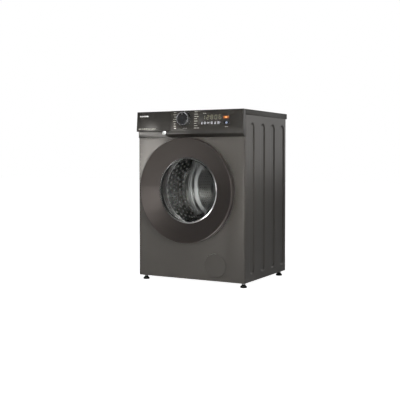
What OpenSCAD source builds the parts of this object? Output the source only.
/* [Cabinet] */
// Width over the side panels
cabinet_w = 595; // [590:1:600]
// Height from the floor to the top of the worktop
total_h = 850; // [846:1:856]
// Depth from the front panel to the rear panel
cabinet_d = 500; // [496:1:510]
// Thickness of the worktop
worktop_t = 27; // [22:1:28]
// How far the worktop reaches behind the rear panel
worktop_back = 15; // [14:1:20]
// Gap between the floor and the base
foot_gap = 25; // [22:1:28]
// Thickness of the steel sheet
sheet = 1.2; // [0.8:0.1:1.5]

/* [Door] */
// Height of the drum axis above the floor
axis_z = 461; // [460:1:462]
// Outer radius of the door ring
door_r = 258; // [256:0.5:258]
// How far the door ring stands out of the front panel
door_out = 53; // [50:1:54]
// Radius of the window opening in the door ring
window_r = 162; // [160:1:163]
// Radius of the hole in the front panel behind the door
mouth_r = 180; // [179:0.5:181]

/* [Drum and tub] */
// Outer radius of the drum
drum_r = 246; // [244:1:247]
// Inner radius of the tub
tub_r = 258; // [257:1:259]
// Thickness of the tub wall
tub_wall = 4; // [3:0.5:5]
// Turn of the first lifter from the right-hand side, in degrees
lifter_turn = 118; // [0:1:119]
// Radius of the large pulley
pulley_r = 140; // [138:1:142]
// Radius of the motor pulley
motor_pulley_r = 12; // [10:1:14]

/* [Controls] */
// Outer diameter of the programme knob
knob_d = 66; // [60:1:68]
// How far a button travels
button_travel = 1.2; // [0.8:0.1:1.5]

/* [Hidden] */
$fn = 96;

half_w = cabinet_w / 2;
// The origin is under the middle of the whole machine, so the front panel stands this far from it
front_y = (door_out - cabinet_d - worktop_back) / 2;
top_z = total_h - worktop_t;
rear_y = cabinet_d + worktop_back;
fine = 180;
run_gap = 0.05;

// Side grooves, pressed into the side panels
groove_w = 46;
groove_depth = 4.5;
groove_low = 62;
groove_high = 785;
groove_first = 84;
groove_pitch = 122;
side_start = 10.5;

// Control fascia: a face that leans back, over a lip that slopes under to the front panel
face_low = [-20, 754];
face_top = [-12, total_h];
lip_low = [-20.5, 736];
lip_root = [0, 720];
fascia_back = 10;
fascia_wall = 2.5;
split_x = -99;
grip_end_x = -126;
drawer_low_z = 751;
face_lean = atan((face_top[0] - face_low[0]) / (face_top[1] - face_low[1]));

knob_at = [-22, 809];
start_at = [208, 812];
power_at = [211, 786];
button_size = [30, 13];
lens_at = [124, 803];
lens_size = [118, 52];

// Door hinge: upright axis on the left
hinge_x = -240;
hinge_y = -32;
hinge_pin_r = 4;
lock_x = 212;

// Pump filter behind the round flap
filter_x = 141;
filter_z = 100;
flap_r = 57.4;
flap_hinge_y = -2.2;

motor_x = 60;
motor_z = 121;
motor_r = 60;
pulley_y = 455;
pulley_w = 18;
shaft_r = 12.5;

spring_x = 262;
spring_ys = [150, 320];
spring_low_z = 606;
spring_high_z = 742;
damper_y = 150;
damper_base = [215, 62];
damper_top = [150, 215];
foot_x = 276;
foot_ys = [36, 464];
foot_bore_r = 5.05;
valve_x = -240;
valve_z = 790;
fill_x = -150;
fill_y = 180;
sump_x = 125;
sump_y = 92;
drain_x = 160;
drain_z = 78;
gland_x = 232;
gland_z = 690;
cover_w = 330;
cover_low = 158;
cover_high = 652;

// Places a shape drawn from the front panel's face backwards
module at_front() translate([0, front_y, 0]) children();

// Turns a shape drawn along +Z so that it runs backwards along +Y from y0, centred on x and z
module along_y(x, z, y0 = 0) translate([x, y0, z]) rotate([-90, 0, 0]) children();

module rod_y(x, z, y0, y1, r) along_y(x, z, y0) cylinder(r = r, h = y1 - y0);

module tube_y(x, z, y0, y1, r_out, r_in) difference() {
    rod_y(x, z, y0, y1, r_out);
    rod_y(x, z, y0 - 1, y1 + 1, r_in);
}

// A ring turned about the drum axis from points given as [radius, y]
module turned(points) along_y(0, axis_z) rotate_extrude($fn = fine) polygon(points);

// A box from its low corner to its high corner
module box(low, high) translate(low) cube(high - low);

module round_rect(w, h, r) union() {
    square([w - 2 * r, h], center = true);
    square([w, h - 2 * r], center = true);
    for (sx = [-1, 1], sy = [-1, 1])
        translate([sx * (w / 2 - r), sy * (h / 2 - r)]) circle(r, $fn = 32);
}

// Places a shape on the sloping face of the fascia, with +Z out of the face and +Y up it
module on_face(x, z) {
    y = face_low[0] + (z - face_low[1]) * tan(face_lean);
    translate([x, y, z]) rotate([90 - face_lean, 0, 0]) children();
}

// A profile given as [y, z], drawn across the cabinet from x0 to x1
module across_x(x0, x1, points)
    translate([x0, 0, 0]) rotate([90, 0, 90]) linear_extrude(x1 - x0) polygon(points);

/* Cabinet */

module groove(y, r, depth) translate([0, y, 0]) rotate([90, 0, 90]) linear_extrude(depth) union() {
    translate([-r, groove_low + r]) square([2 * r, groove_high - groove_low - 2 * r]);
    translate([0, groove_low + r]) circle(r);
    translate([0, groove_high - r]) circle(r);
}

// Right-hand side panel, with folded edges and four pressed grooves
module side_shape() difference() {
    union() {
        box([half_w - sheet, side_start, foot_gap], [half_w, cabinet_d - 2, top_z]);
        box([half_w - 12, side_start, foot_gap + 36], [half_w, side_start + sheet, top_z]);
        box([half_w - 12, cabinet_d - 2 - sheet, foot_gap], [half_w, cabinet_d - 2, top_z]);
        for (i = [0:3])
            translate([half_w - sheet - groove_depth, 0, 0])
                groove(groove_first + i * groove_pitch, groove_w / 2 + sheet, groove_depth + sheet / 2);
    }
    for (i = [0:3])
        translate([half_w - groove_depth, 0, 0])
            groove(groove_first + i * groove_pitch, groove_w / 2, groove_depth + 1);
}

module side_panel_right() color([0.27, 0.26, 0.24]) at_front() side_shape();

module side_panel_left() color([0.27, 0.26, 0.24]) at_front() mirror([1, 0, 0]) side_shape();

module front_outline(w, d, r) intersection() {
    union() {
        translate([-w / 2, r]) square([w, d]);
        translate([-w / 2 + r, 0]) square([w - 2 * r, d]);
        for (s = [-1, 1]) translate([s * (w / 2 - r), r]) circle(r, $fn = 48);
    }
    translate([-w / 2, 0]) square([w, d]);
}

// Front panel with rounded upright edges, the door mouth and the filter opening
module front_panel() color([0.31, 0.30, 0.28]) at_front() {
    edge_r = 8;
    high = 719.5;
    difference() {
        union() {
            translate([0, 0, foot_gap]) linear_extrude(high - foot_gap) difference() {
                front_outline(cabinet_w, 10, edge_r);
                translate([0, sheet]) front_outline(cabinet_w - 2 * sheet, 20, edge_r - sheet);
            }
            rod_y(0, axis_z, sheet / 2, 14, mouth_r + sheet);
        }
        rod_y(0, axis_z, -1, 15, mouth_r);
        rod_y(filter_x, filter_z, -1, 5, flap_r + 0.6);
        box([lock_x - 10, -1, axis_z - 14], [lock_x + 11, 5, axis_z + 14]);
    }
}

module rear_panel() color([0.45, 0.45, 0.44]) at_front() difference() {
    box([-half_w + 2, cabinet_d - sheet, foot_gap + 2], [half_w - 2, cabinet_d, top_z - 1]);
    box([-150, cabinet_d - 5, 172], [150, cabinet_d + 5, 638]);
    rod_y(valve_x, valve_z, cabinet_d - 5, cabinet_d + 5, 14);
    rod_y(drain_x, drain_z, cabinet_d - 5, cabinet_d + 5, 12.5);
    rod_y(gland_x, gland_z, cabinet_d - 5, cabinet_d + 5, 8.3);
    for (x = [-200, 200], z = [330, 560]) rod_y(x, z, cabinet_d - 5, cabinet_d + 5, 9.3);
}

// Pressed cover over the belt opening
module rear_cover() color([0.45, 0.45, 0.44]) at_front() {
    mid = (cover_low + cover_high) / 2;
    tall = cover_high - cover_low;
    translate([0, cabinet_d, mid]) rotate([-90, 0, 0]) difference() {
        union() {
            linear_extrude(1.2) round_rect(cover_w, tall, 14);
            linear_extrude(7) round_rect(cover_w - 50, tall - 50, 14);
        }
        translate([0, 0, -1]) linear_extrude(6.8) round_rect(cover_w - 53, tall - 53, 12.5);
    }
}

// Two cross rails and two side rails that stiffen the cabinet and carry the springs
module top_frame() color([0.55, 0.55, 0.55]) at_front() union() {
    box([-290, 246, 811], [290, 270, 822]);
    box([-290, 474, 811], [290, 494, 822]);
    for (s = [-1, 1]) {
        low_x = min(s * 290, s * 284);
        shelf_x = min(s * 288, s * 246);
        box([low_x, 120, spring_high_z - 4], [low_x + 6, 474, spring_high_z + 6]);
        box([low_x, 246, spring_high_z], [low_x + 6, 474, 822]);
        for (y = spring_ys) box([shelf_x, y - 16, spring_high_z], [shelf_x + 42, y + 16, spring_high_z + 4]);
    }
}

module worktop() color([0.24, 0.23, 0.22]) at_front() difference() {
    box([-half_w, fascia_back + 0.5, top_z], [half_w, rear_y, total_h]);
    box([-half_w + 14, fascia_back + 12, top_z - 1], [half_w - 14, rear_y - 26, top_z + 9]);
}

// Tray under the cabinet, with a boss for each foot and ears for the shock absorbers
module base_pan() color([0.12, 0.12, 0.12]) at_front() {
    inner_w = half_w - sheet - 0.5;
    pan_top = foot_gap + 34;
    union() {
        difference() {
            union() {
                difference() {
                    box([-inner_w, 12, foot_gap], [inner_w, cabinet_d - 4, pan_top]);
                    box([-inner_w + 3, 15, foot_gap + 3], [inner_w - 3, cabinet_d - 7, pan_top + 1]);
                }
                for (s = [-1, 1], y = foot_ys) translate([s * foot_x, y, foot_gap]) cylinder(r = 15, h = 34);
            }
            for (s = [-1, 1], y = foot_ys)
                translate([s * foot_x, y, foot_gap - 1]) cylinder(r = foot_bore_r, h = 40);
        }
        for (s = [-1, 1], e = [-12, 8])
            box([s * damper_base[0] - 14, damper_y + e, foot_gap + 1],
                [s * damper_base[0] + 14, damper_y + e + 4, damper_base[1] + 12]);
        box([filter_x - 26, 24, foot_gap + 1], [filter_x + 26, 104, filter_z - 41]);
    }
}

module foot(x, y) color([0.06, 0.06, 0.06]) at_front() translate([x, y, 0]) union() {
    rotate_extrude() polygon([[0, 0], [15, 0], [16, 1.2], [16, 7], [11, 11], [9, 15.5], [0, 15.5]]);
    translate([0, 0, 15]) cylinder(r = 5, h = 50);
}

module foot_front_left() foot(-foot_x, foot_ys[0]);

module foot_front_right() foot(foot_x, foot_ys[0]);

module foot_rear_left() foot(-foot_x, foot_ys[1]);

module foot_rear_right() foot(foot_x, foot_ys[1]);

module foot_nuts() color([0.7, 0.7, 0.7]) at_front()
    for (s = [-1, 1], y = foot_ys) translate([s * foot_x, y, foot_gap - 8]) difference() {
        cylinder(r = 9.8, h = 7.8, $fn = 6);
        translate([0, 0, -1]) cylinder(r = foot_bore_r, h = 10);
    }

module cover_screws() color([0.75, 0.75, 0.75]) at_front() {
    for (s = [-1, 1], z = [cover_low + 12, 285, 405, 525, cover_high - 12])
        rod_y(s * (cover_w / 2 - 12), z, cabinet_d + sheet, cabinet_d + sheet + 3, 4.6);
    for (s = [-1, 1]) rod_y(s * 250, total_h - 40, cabinet_d, cabinet_d + 3, 4.6);
}

/* Control fascia */

function inset_profile(w) = [
    [lip_root[0] + 2, lip_root[1] + w], [lip_low[0] + w, lip_low[1] + w / 2 + 1],
    [face_low[0] + w, face_low[1]], [face_top[0] + w, face_top[1] - w],
    [fascia_back + 1, face_top[1] - w], [fascia_back + 1, lip_root[1] + w]
];

// The fascia: a hollow shell on the right, a frame round the drawer on the left
module control_fascia() color([0.20, 0.19, 0.18]) at_front() {
    outer = [lip_root, lip_low, face_low, face_top, [fascia_back, face_top[1]], [fascia_back, lip_root[1]]];
    difference() {
        union() {
            across_x(split_x + 0.5, half_w, outer);
            box([-half_w, 0, lip_root[1]], [split_x + 1, fascia_back, total_h]);
            intersection() {
                across_x(grip_end_x - 10, split_x + 2, outer);
                union() {
                    box([grip_end_x + 15, -30, 700], [split_x + 2, 20, drawer_low_z - 0.5]);
                    rod_y(grip_end_x + 15.4, 735.4, -30, 20, 15.2);
                }
            }
        }
        across_x(split_x + 3, half_w - fascia_wall, inset_profile(fascia_wall));
        box([-half_w + 8, -1, 755], [split_x - 8, fascia_back + 1, 818]);
        on_face(knob_at[0], knob_at[1]) translate([0, 0, -6]) cylinder(r = 7, h = 12);
        for (p = [start_at, power_at])
            on_face(p[0], p[1]) translate([0, 0, -6]) linear_extrude(12)
                round_rect(button_size[0] + 0.8, button_size[1] + 0.8, 3);
        on_face(lens_at[0], lens_at[1]) translate([0, 0, -6]) linear_extrude(12)
            round_rect(lens_size[0] + 0.4, lens_size[1] + 0.4, 4);
    }
}

// Clear window over the display and the touch keys
module display_lens() color([0.05, 0.05, 0.05]) at_front() on_face(lens_at[0], lens_at[1])
    translate([0, 0, -2]) linear_extrude(2.2) round_rect(lens_size[0], lens_size[1], 4);

// Circuit board with the display block and the bush that the knob turns in
module control_board() color([0.10, 0.30, 0.16]) at_front() {
    difference() {
        union() {
            on_face(90, 803) translate([-145, -24, -12]) cube([290, 48, 1.6]);
            on_face(lens_at[0], lens_at[1]) translate([-50, -18, -11]) cube([100, 36, 7]);
            on_face(knob_at[0], knob_at[1]) translate([0, 0, -15]) cylinder(r = 5, h = 15);
        }
        on_face(knob_at[0], knob_at[1]) translate([0, 0, -14]) cylinder(r = 3 + run_gap, h = 20);
    }
}

module knob() color([0.04, 0.04, 0.04]) at_front() on_face(knob_at[0], knob_at[1]) union() {
    rotate_extrude() polygon([
        [0, 1], [knob_d / 2 - 4.2, 1], [knob_d / 2 - 4.2, 21], [knob_d / 2 - 7, 23], [0, 23]
    ]);
    translate([0, 0, -12]) cylinder(r = 3, h = 14);
}

module knob_ring() color([0.78, 0.78, 0.80]) at_front() on_face(knob_at[0], knob_at[1])
    rotate_extrude() polygon([
        [knob_d / 2 - 4, 1], [knob_d / 2, 1], [knob_d / 2, 18], [knob_d / 2 - 1.5, 21], [knob_d / 2 - 4, 21]
    ]);

module push_button(at) on_face(at[0], at[1]) union() {
    translate([0, 0, -3]) linear_extrude(3.4 + button_travel) round_rect(button_size[0], button_size[1], 3);
    translate([0, 0, -7]) cylinder(r = 2.5, h = 5);
}

module start_button() color([0.90, 0.42, 0.10]) at_front() push_button(start_at);

module power_button() color([0.80, 0.85, 0.92]) at_front() push_button(power_at);

/* Detergent drawer */

module dispenser_housing() color([0.80, 0.80, 0.80]) at_front() difference() {
    union() {
        box([-291, 16, 750], [-103, 240, 821]);
        translate([fill_x, fill_y, 722]) cylinder(r = 17, h = 30);
        rod_y(valve_x, valve_z + 5, 238, 252, 7.8);
    }
    box([-288.5, 15, 753], [-105.5, 237.5, 818.5]);
    translate([fill_x, fill_y, 721]) cylinder(r = 14, h = 40);
    rod_y(valve_x, valve_z + 5, 230, 260, 5);
}

// Tray with three open compartments
module drawer_tray() color([0.82, 0.82, 0.80]) at_front() difference() {
    box([-284, -3, 757], [-110, 214, 815]);
    box([-282, 6, 760], [-222, 212, 816]);
    box([-220, 6, 760], [-172, 212, 816]);
    box([-170, 6, 760], [-112, 212, 816]);
}

module drawer_front() color([0.22, 0.21, 0.20]) at_front() {
    z_high = total_h - 0.5;
    slope = tan(face_lean);
    y_low = face_low[0];
    y_high = face_low[0] + (z_high - face_low[1]) * slope;
    difference() {
        across_x(-half_w, split_x, [
            [y_low, drawer_low_z + 2], [y_low + 2, drawer_low_z], [-5, drawer_low_z],
            [-0.5, drawer_low_z + 8], [-0.5, z_high], [y_high, z_high]
        ]);
        box([-half_w + 14, y_low + 7, drawer_low_z - 1], [split_x - 14, -5, drawer_low_z + 22]);
        box([-284.2, -3.2, 756.8], [-109.8, 0, 815.2]);
    }
}

/* Water system */

module inlet_valve() color([0.90, 0.90, 0.92]) at_front() union() {
    box([valve_x - 20, 452, valve_z - 16], [valve_x + 20, cabinet_d - sheet - 0.3, valve_z + 20]);
    rod_y(valve_x, valve_z, 490, cabinet_d + 2, 13.8);
    rod_y(valve_x, valve_z, 490, cabinet_d + 13, 13.2);
    rod_y(valve_x, valve_z + 5, 436, 453, 7.8);
}

module inlet_hose() color([0.10, 0.10, 0.10]) at_front()
    tube_y(valve_x, valve_z + 5, 253, 435, 9, 6.5);

module drain_spigot() color([0.30, 0.30, 0.30]) at_front() difference() {
    union() {
        rod_y(drain_x, drain_z, 478, cabinet_d + 14, 10);
        rod_y(drain_x, drain_z, cabinet_d - 5, cabinet_d - sheet - 0.2, 16);
        rod_y(drain_x, drain_z, cabinet_d - 5, cabinet_d + 2, 12.2);
    }
    rod_y(drain_x, drain_z, 470, cabinet_d + 20, 7.5);
}

module drain_hose() color([0.10, 0.10, 0.10]) at_front() tube_y(drain_x, drain_z, 149, 477, 12, 9.5);

module cable_gland() color([0.08, 0.08, 0.08]) at_front() difference() {
    union() {
        rod_y(gland_x, gland_z, cabinet_d - 8, cabinet_d + 12, 8);
        rod_y(gland_x, gland_z, cabinet_d + 0.2, cabinet_d + 3, 12);
    }
    rod_y(gland_x, gland_z, cabinet_d - 10, cabinet_d + 20, 4);
}

// Pump body with the filter chamber in front and the impeller chamber behind
module pump_housing() color([0.35, 0.35, 0.36]) at_front() difference() {
    union() {
        rod_y(filter_x, filter_z, 8, 96, 41);
        rod_y(filter_x, filter_z, 95, 132, 34);
        translate([sump_x, sump_y - 12, filter_z]) cylinder(r = 16, h = 66);
        rod_y(drain_x, drain_z, 84, 148, 9.5);
    }
    rod_y(filter_x, filter_z, 0, 88, 37);
    rod_y(filter_x, filter_z, 87, 108, 26);
    rod_y(filter_x, filter_z, 107, 124, 2.5 + run_gap);
    translate([sump_x, sump_y - 12, filter_z + 20]) cylinder(r = 13, h = 60);
    rod_y(drain_x, drain_z, 100, 160, 7.5);
}

module pump_filter() color([0.16, 0.16, 0.17]) at_front() difference() {
    union() {
        rod_y(filter_x, filter_z, 6, 30, 36.6);
        rod_y(filter_x, filter_z, 29, 70, 24);
        box([filter_x - 30, 2.5, filter_z - 5], [filter_x + 30, 8, filter_z + 5]);
    }
    rod_y(filter_x, filter_z, 34, 75, 21);
    for (a = [-28, -9.5, 9])
        box([filter_x + a, 38, filter_z - 40], [filter_x + a + 10, 62, filter_z + 40]);
}

module pump_impeller() color([0.85, 0.85, 0.80]) at_front() union() {
    rod_y(filter_x, filter_z, 92, 122, 2.5);
    rod_y(filter_x, filter_z, 102, 105, 22);
    along_y(filter_x, filter_z, 91) for (a = [0:60:300])
        rotate([0, 0, a]) translate([2, -0.8, 0]) cube([19, 1.6, 12]);
}

// Round cover, flush with the front panel, hinged at its lower edge
module filter_flap() color([0.31, 0.30, 0.28]) at_front() difference() {
    rod_y(filter_x, filter_z, flap_hinge_y, 1, flap_r);
    box(
        [filter_x - 10, flap_hinge_y - 1, filter_z + flap_r - 9],
        [filter_x + 10, flap_hinge_y + 1.2, filter_z + flap_r - 6]
    );
}

/* Door */

module hinge_room() {
    box([-290, -41, axis_z - 50], [-226, 1, axis_z + 50]);
}

// Large ring with a dished face round the window
module door_ring() color([0.22, 0.20, 0.19]) at_front() difference() {
    turned([
        [window_r, -20], [window_r + 3, -22.5], [door_r - 9, -door_out + 1.2], [door_r - 5, -door_out],
        [door_r - 1.5, -door_out + 1.5], [door_r, -door_out + 5], [door_r - 1, -32], [door_r - 7, -8],
        [door_r - 10, -8], [door_r - 4.2, -32], [door_r - 4, -door_out + 6], [window_r + 2, -17.5],
        [window_r, -17.5]
    ]);
    hinge_room();
}

module door_inner_frame() color([0.30, 0.30, 0.31]) at_front() difference() {
    union() {
        turned([[164, -14], [244, -14], [244, -9], [168, -9], [167, 14], [163, 14], [163, -12]]);
        turned([[163, -17.2], [168, -17.2], [168, -13], [163, -13]]);
    }
    hinge_room();
}

// Thick glass bowl
module door_glass() color([0.6, 0.65, 0.68, 0.4]) at_front() turned([
    [0, 92], [60, 90.5], [95, 85], [110, 76], [116, 66], [150, -8], [155, -13], [161.5, -13],
    [161.5, -17], [153, -17], [146, -11], [112, 62], [106, 71], [92, 79.5], [58, 85], [0, 86.5]
]);

module door_trim_ring() color([0.80, 0.80, 0.82]) at_front() turned([
    [156.5, -17.3], [156.5, -20.5], [158, -22.5], [161.7, -22.5], [161.7, -17.3]
]);

// Barrel and strap that carry the door on the hinge pin
module hinge_arm() color([0.60, 0.60, 0.60]) at_front() difference() {
    union() {
        translate([hinge_x, hinge_y, axis_z - 19.6]) cylinder(r = 8, h = 39.2);
        box([hinge_x, hinge_y - 2, axis_z - 19.6], [-218, hinge_y + 3, axis_z + 19.6]);
        box([-224, hinge_y - 2, axis_z - 19.6], [-218, -14.1, axis_z + 19.6]);
    }
    translate([hinge_x, hinge_y, axis_z - 30]) cylinder(r = hinge_pin_r + run_gap, h = 60);
}

module hinge_bracket() color([0.60, 0.60, 0.60]) at_front() difference() {
    union() {
        box([-262, -2.2, axis_z - 48], [-218, -0.2, axis_z + 48]);
        for (s = [-1, 1]) {
            low = axis_z + min(s * 20, s * 38);
            translate([hinge_x, hinge_y, low]) cylinder(r = 8, h = 18);
            box([hinge_x - 1.5, hinge_y, low], [hinge_x + 8, -1, low + 18]);
        }
    }
    translate([hinge_x, hinge_y, axis_z - 60]) cylinder(r = hinge_pin_r + run_gap / 2, h = 120);
}

module hinge_pin() color([0.75, 0.75, 0.75]) at_front()
    translate([hinge_x, hinge_y, axis_z - 40]) cylinder(r = hinge_pin_r, h = 80);

module latch_hook() color([0.70, 0.70, 0.70]) at_front() union() {
    box([lock_x - 5, -8.9, axis_z - 7], [lock_x - 1, 18, axis_z + 7]);
    box([lock_x - 5, 13, axis_z - 7], [lock_x + 4, 18, axis_z + 7]);
    box([lock_x - 12, -8.9, axis_z - 12], [lock_x + 12, -6.5, axis_z + 12]);
}

module door_lock() color([0.12, 0.12, 0.13]) at_front() difference() {
    box([194, 1.6, axis_z - 40], [232, 24, axis_z + 40]);
    box([lock_x - 11, 1, axis_z - 13], [lock_x + 12, 21, axis_z + 13]);
}

/* Tub */

tub_front_y = 55;
tub_seam_y = 230;
tub_back_y = 410;
neck_r = 190;

function on_tub(x) = axis_z + sqrt(pow(tub_r + 1, 2) - x * x);

module tub_front() color([0.72, 0.74, 0.74]) at_front() difference() {
    union() {
        turned([
            [neck_r - 4, 42], [neck_r, 42], [neck_r, tub_front_y], [tub_r + tub_wall, tub_front_y],
            [tub_r + tub_wall, tub_seam_y - 8], [tub_r + 16, tub_seam_y - 8], [tub_r + 16, tub_seam_y],
            [tub_r, tub_seam_y], [tub_r, tub_front_y + 4], [neck_r - 4, tub_front_y + 4]
        ]);
        translate([sump_x, sump_y - 12, axis_z - 262]) cylinder(r = 16, h = 38);
        translate([fill_x, fill_y, on_tub(fill_x) - 4]) cylinder(r = 14, h = 26);
        for (s = [-1, 1]) {
            for (e = [-12, 8])
                box([s * 153 - 16, damper_y + e, damper_top[1] - 12],
                    [s * 153 + 16, damper_y + e + 4, damper_top[1] + 34]);
            box([s * (spring_x - 6) - 14, spring_ys[0] - 10, spring_low_z - 16],
                [s * (spring_x - 6) + 14, spring_ys[0] + 10, spring_low_z - 0.5]);
            box([s * (spring_x - 16) - 14, spring_ys[0] - 10, spring_low_z - 40],
                [s * (spring_x - 16) + 14, spring_ys[0] + 10, spring_low_z - 12]);
        }
    }
    rod_y(0, axis_z, tub_front_y + 4, tub_seam_y, tub_r - 0.01);
    translate([sump_x, sump_y - 12, axis_z - 270]) cylinder(r = 13, h = 60);
    translate([fill_x, fill_y, on_tub(fill_x) - 20]) cylinder(r = 11, h = 50);
}

module tub_rear() color([0.72, 0.74, 0.74]) at_front() difference() {
    union() {
        turned([
            [0, tub_back_y - 6], [tub_r, tub_back_y - 6], [tub_r, tub_seam_y + 0.5],
            [tub_r + 16, tub_seam_y + 0.5], [tub_r + 16, tub_seam_y + 8],
            [tub_r + tub_wall, tub_seam_y + 8], [tub_r + tub_wall, tub_back_y],
            [45, tub_back_y], [45, 449], [0, 449]
        ]);
        for (a = [0:30:330]) translate([0, 0, axis_z]) rotate([0, a, 0])
            box([40, tub_back_y - 1, -2], [tub_r - 10, tub_back_y + 14, 2]);
        for (s = [-1, 1]) {
            box([s * (spring_x - 6) - 14, spring_ys[1] - 10, spring_low_z - 16],
                [s * (spring_x - 6) + 14, spring_ys[1] + 10, spring_low_z - 0.5]);
            box([s * (spring_x - 16) - 14, spring_ys[1] - 10, spring_low_z - 40],
                [s * (spring_x - 16) + 14, spring_ys[1] + 10, spring_low_z - 12]);
        }
        for (x = [motor_x - 52, motor_x + 36])
            box([x, 350, motor_z + 40], [x + 16, 380, axis_z - 235]);
    }
    rod_y(0, axis_z, tub_seam_y, tub_back_y - 6, tub_r - 0.01);
    rod_y(0, axis_z, 380, 460, 18);
    rod_y(0, axis_z, 380, 420.5, 31 + run_gap);
    rod_y(0, axis_z, 430, 460, 26 + run_gap);
    rod_y(motor_x, motor_z, 345, 385, motor_r + 0.2);
    box([-30, 400, axis_z - 257], [30, 420, axis_z - 244]);
}

module drum_bearings() color([0.75, 0.76, 0.78]) at_front() {
    tube_y(0, axis_z, 404, 420, 31, 15 + run_gap);
    tube_y(0, axis_z, 431, 446, 26, shaft_r + run_gap);
}

// Two concrete arcs round the tub mouth and a block on top of the tub
module counterweights() color([0.62, 0.61, 0.58]) at_front() {
    reach = 400;
    rise = reach * tan(26);
    difference() {
        tube_y(0, axis_z, 27, tub_front_y - 0.2, tub_r + 2, neck_r + 6);
        for (s = [-1, 1]) along_y(0, axis_z, 0) linear_extrude(80)
            polygon([[0, 0], [s * reach, -rise], [s * reach, rise]]);
    }
    difference() {
        box([-84, 70, 680], [190, 215, 786]);
        rod_y(0, axis_z, 60, 230, tub_r + tub_wall + 0.3);
    }
}

module heater() color([0.70, 0.70, 0.72]) at_front() union() {
    for (s = [-1, 1]) rod_y(s * 16, axis_z - 251, 110, 402, 3.4);
    translate([0, 110, axis_z - 251]) rotate([180, 0, 0])
        rotate_extrude(angle = 180) translate([16, 0]) circle(3.4, $fn = 32);
    box([-29.7, 401, axis_z - 256.7], [29.7, 416, axis_z - 244.3]);
}

module motor() color([0.40, 0.40, 0.42]) at_front() difference() {
    union() {
        rod_y(motor_x, motor_z, 312, 432, motor_r);
        rod_y(motor_x, motor_z, 431, 442, 16);
    }
    rod_y(motor_x, motor_z, 322, 422, 37);
    rod_y(motor_x, motor_z, 316, 450, 6 + run_gap);
}

module drum_pulley() color([0.66, 0.67, 0.69]) at_front() difference() {
    union() {
        tube_y(0, axis_z, pulley_y, pulley_y + pulley_w, pulley_r, pulley_r - 7);
        rod_y(0, axis_z, pulley_y, pulley_y + pulley_w, 24);
        for (a = [0:72:288]) translate([0, 0, axis_z]) rotate([0, a, 0])
            box([18, pulley_y + 4, -9], [pulley_r - 4, pulley_y + 10, 9]);
    }
    rod_y(0, axis_z, pulley_y - 1, pulley_y + pulley_w + 1, shaft_r);
}

module motor_rotor() color([0.60, 0.60, 0.62]) at_front() union() {
    rod_y(motor_x, motor_z, 317, pulley_y + pulley_w + 1, 6);
    rod_y(motor_x, motor_z, 330, 414, 36);
    rod_y(motor_x, motor_z, pulley_y, pulley_y + pulley_w, motor_pulley_r);
}

// Ribbed belt, as a band that follows both pulleys
module drive_belt() color([0.07, 0.07, 0.07]) at_front()
    translate([0, pulley_y + 16, 0]) rotate([90, 0, 0]) linear_extrude(14) difference() {
        belt_outline(3.4);
        belt_outline(0.4);
    }

module belt_outline(out) hull() {
    translate([0, axis_z]) circle(pulley_r + out, $fn = fine);
    translate([motor_x, motor_z]) circle(motor_pulley_r + out, $fn = 48);
}

// Folded rubber gasket between the front panel and the tub mouth
module bellows() color([0.22, 0.22, 0.23]) at_front() turned([
    [181.8, 4], [184.5, 4], [184.5, 16], [178, 22], [178, 28], [188, 32], [188, 36], [176, 40],
    [176, 46], [185.4, 50], [185.4, 58], [173, 58], [169, 55], [171, 53.5], [180, 54.5], [183, 53],
    [172.5, 47], [172.5, 38.5], [182, 34.8], [182, 33.4], [174.5, 29], [174.5, 21], [181.8, 14.5]
]);

/* Suspension */

coil_r = 9;
coil_wire = 1.6;
coil_turns = 9;
coil_steps = 12;
coil_sides = 5;

function coil_point(i) = [
    coil_r * cos(i * 360 / coil_steps), coil_r * sin(i * 360 / coil_steps),
    (spring_high_z - spring_low_z - 4) * i / (coil_turns * coil_steps) + 2
];

function coil_ring(i, k) = let (
    turn = i * 360 / coil_steps,
    p = coil_point(i),
    a = k * 360 / coil_sides
) [p[0] + coil_wire * cos(a) * cos(turn), p[1] + coil_wire * cos(a) * sin(turn), p[2] + coil_wire * sin(a)];

module coil() {
    n = coil_turns * coil_steps;
    polyhedron(
        points = [for (i = [0:n], k = [0:coil_sides - 1]) coil_ring(i, k)],
        faces = concat(
            [[for (k = [0:coil_sides - 1]) k]],
            [for (i = [0:n - 1], k = [0:coil_sides - 1]) [
                i * coil_sides + k, (i + 1) * coil_sides + k, (i + 1) * coil_sides + (k + 1) % coil_sides
            ]],
            [for (i = [0:n - 1], k = [0:coil_sides - 1]) [
                i * coil_sides + k, (i + 1) * coil_sides + (k + 1) % coil_sides,
                i * coil_sides + (k + 1) % coil_sides
            ]],
            [[for (k = [coil_sides - 1:-1:0]) n * coil_sides + k]]
        )
    );
}

module springs() color([0.70, 0.70, 0.72]) at_front()
    for (s = [-1, 1], y = spring_ys) translate([s * spring_x, y, spring_low_z]) coil();

// Telescopic absorbers between the base pan and the tub
module shock_absorbers() color([0.16, 0.16, 0.17]) at_front() for (s = [-1, 1]) {
    dx = damper_base[0] - damper_top[0];
    dz = damper_top[1] - damper_base[1];
    long = sqrt(dx * dx + dz * dz);
    translate([s * damper_base[0], damper_y, damper_base[1]]) rotate([0, -s * atan(dx / dz), 0]) union() {
        rotate([90, 0, 0]) cylinder(r = 10, h = 15, center = true);
        translate([0, 0, 6]) cylinder(r = 7.4, h = 90);
        translate([0, 0, 90]) cylinder(r = 4.5, h = long - 94);
        translate([0, 0, long]) rotate([90, 0, 0]) cylinder(r = 10, h = 15, center = true);
    }
}

module ribbed_hose(x, y, low, high, r) translate([x, y, low]) {
    ribs = floor((high - low - 12) / 8);
    difference() {
        union() {
            cylinder(r = r, h = high - low);
            for (i = [0:ribs - 1]) translate([0, 0, 8 + i * 8]) cylinder(r = r + 2.5, h = 4);
        }
        translate([0, 0, -1]) cylinder(r = r - 2, h = high - low + 2);
    }
}

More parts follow.
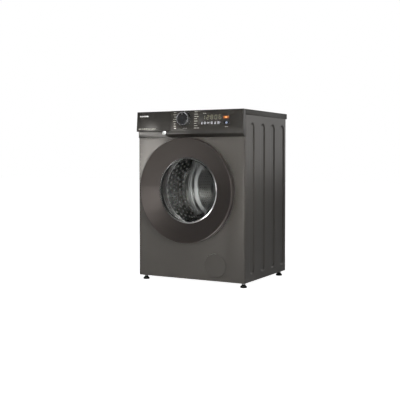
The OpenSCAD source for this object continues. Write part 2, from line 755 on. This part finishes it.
module fill_hose() color([0.10, 0.10, 0.10]) at_front() ribbed_hose(fill_x, fill_y, 698, 742, 19.3);

module sump_hose() color([0.10, 0.10, 0.10]) at_front() ribbed_hose(sump_x, sump_y - 12, 146, 216, 18.3);

/* Drum */

module drum_shell() color([0.78, 0.79, 0.80])
at_front() along_y(0, axis_z) rotate_extrude($fn = fine) union() {
    polygon([
        [169, 63], [238, 66.5], [drum_r - 1.4, 69], [drum_r, 74], [drum_r, 384], [drum_r - 1.2, 384],
        [drum_r - 1.2, 75], [drum_r - 2.4, 70.6], [237.8, 68], [169, 64.6]
    ]);
    translate([170, 64.2]) circle(3, $fn = 48);
}

// Rear wall of the drum, pressed in rings
module drum_back() color([0.74, 0.75, 0.76]) at_front() difference() {
    turned([
        [0, 372], [70, 372], [84, 379], [184, 379], [190, 374], [214, 374], [220, 380],
        [drum_r - 1.4, 380], [drum_r - 1.4, 385.5], [219, 385.5], [213, 375.8], [191, 375.8],
        [185, 380.8], [83, 380.8], [69, 373.8], [0, 373.8]
    ]);
    rod_y(0, axis_z, 360, 390, 6);
}

// Three hollow paddles that lift the laundry
module lifters() color([0.50, 0.51, 0.52]) at_front() for (i = [0:2])
    translate([0, 84, axis_z]) rotate([0, -lifter_turn - i * 120, 0]) rotate([-90, 0, 0])
        linear_extrude(286) polygon([
            [184, 7], [188, 11], [236, 24], [239, 30], [242.4, 30], [243.2, 12], [243.4, 0],
            [243.2, -12], [242.4, -30], [239, -30], [236, -24], [188, -11], [184, -7], [182.5, 0]
        ]);

module drum_shaft() color([0.60, 0.61, 0.62]) at_front() union() {
    rod_y(0, axis_z, 388, 425, 15);
    rod_y(0, axis_z, 424, pulley_y + pulley_w + 4, shaft_r);
    rod_y(0, axis_z, 386, 400, 38);
    for (i = [0:2]) translate([0, 0, axis_z]) rotate([0, -lifter_turn - i * 120, 0])
        box([30, 386, -13], [236, 398, 13]);
}

base_pan();
side_panel_left();
side_panel_right();
front_panel();
rear_panel();
rear_cover();
top_frame();
worktop();
control_fascia();
display_lens();
control_board();
dispenser_housing();
inlet_valve();
inlet_hose();
drain_hose();
drain_spigot();
cable_gland();
door_lock();
hinge_bracket();
hinge_pin();
pump_housing();
foot_nuts();
cover_screws();
door_ring();
door_inner_frame();
door_glass();
door_trim_ring();
hinge_arm();
latch_hook();
drawer_tray();
drawer_front();
knob();
knob_ring();
start_button();
power_button();
filter_flap();
pump_filter();
pump_impeller();
tub_front();
tub_rear();
drum_bearings();
counterweights();
heater();
motor();
motor_rotor();
bellows();
springs();
shock_absorbers();
fill_hose();
sump_hose();
drive_belt();
drum_shell();
drum_back();
lifters();
drum_shaft();
drum_pulley();
foot_front_left();
foot_front_right();
foot_rear_left();
foot_rear_right();
